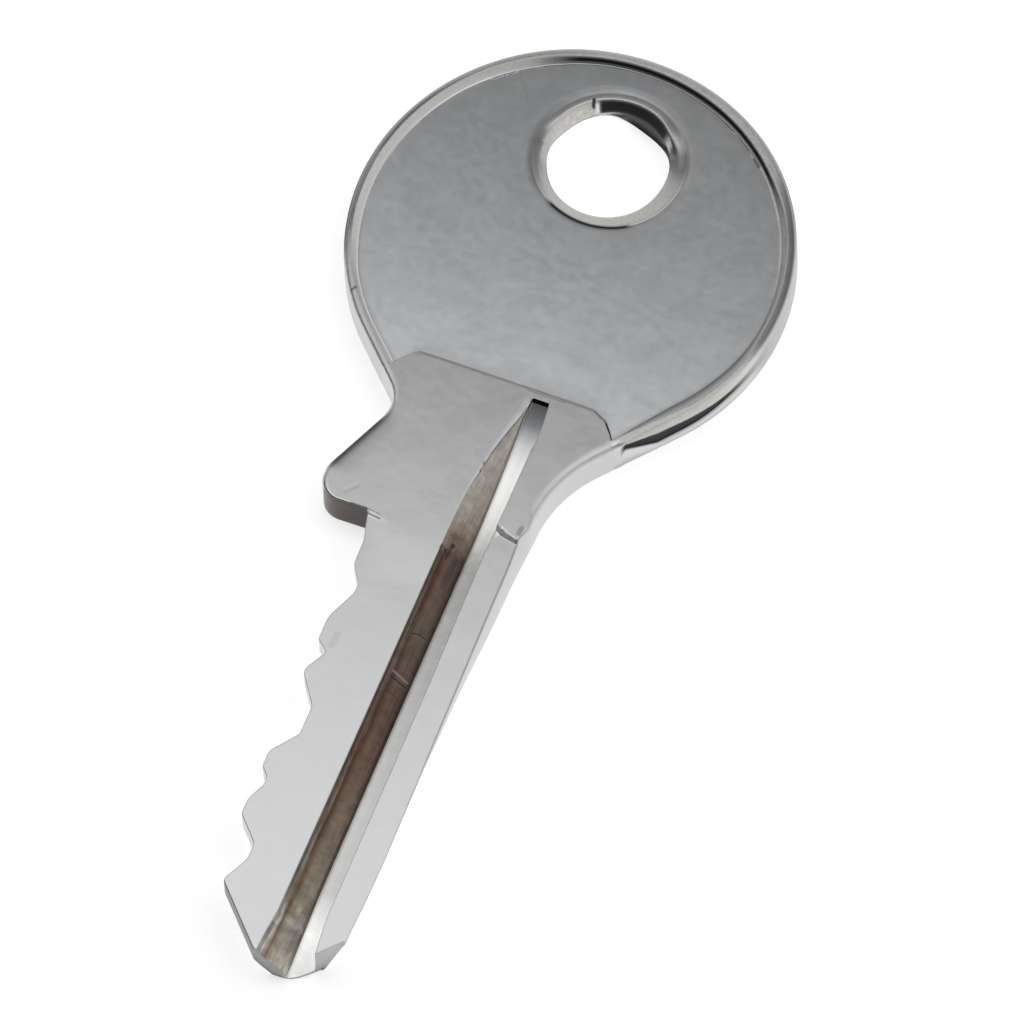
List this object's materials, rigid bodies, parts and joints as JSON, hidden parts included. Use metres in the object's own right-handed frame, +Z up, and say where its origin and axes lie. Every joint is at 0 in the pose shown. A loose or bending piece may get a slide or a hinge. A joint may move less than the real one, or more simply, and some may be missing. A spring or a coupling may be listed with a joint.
{
  "type": "cylinder key",
  "caption": "Flat cylinder key for a gate release, with a round rimmed bow, a ring hole, a shoulder, pin cuts along one edge and a milled groove.",
  "frame": {"origin": "middle of the footprint, on the surface that the key lies on", "axes": "+Y along the key from the tip towards the bow, +X towards the spine and -X towards the pin cuts, +Z up through the thickness to the grooved face"},
  "size_m": [0.023, 0.0546, 0.0022],
  "materials": {
    "nickel_plate": "satin nickel plate with fine grain, small scratches and brownish stain in the groove"
  },
  "bodies": {
    "root": {"release_key": "nickel_plate"}
  },
  "joints": []
}
